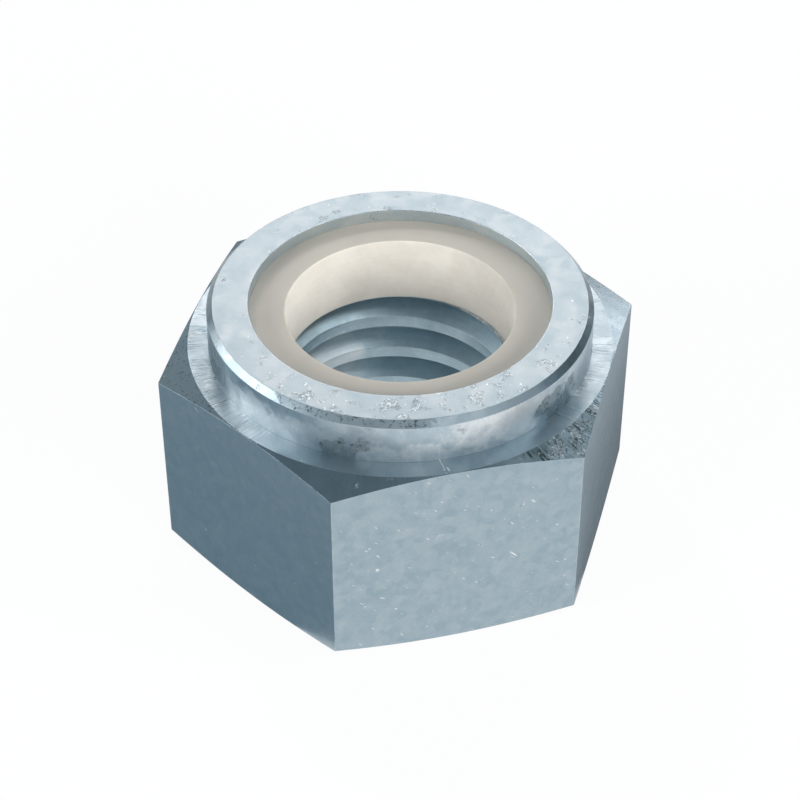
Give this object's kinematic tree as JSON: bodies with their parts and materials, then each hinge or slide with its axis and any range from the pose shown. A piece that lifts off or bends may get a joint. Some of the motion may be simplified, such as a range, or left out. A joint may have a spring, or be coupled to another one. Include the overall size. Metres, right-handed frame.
{
  "type": "nylon insert lock nut",
  "caption": "Hexagonal steel lock nut with a round collar that holds a nylon ring, for an M8 x 1.25 bolt.",
  "frame": {"origin": "centre of the bearing face, on the thread's axis", "axes": "+Z along the thread's axis from the bearing face towards the collar; X through two of the hexagon's corners; Y square to two of its flats"},
  "size_m": [0.015, 0.013, 0.008],
  "materials": {
    "zinc_steel": "zinc plated, satin, faintly mottled",
    "nylon": "smooth natural nylon"
  },
  "bodies": {
    "root": {"nut_body": "zinc_steel", "nylon_ring": "nylon"}
  },
  "joints": []
}
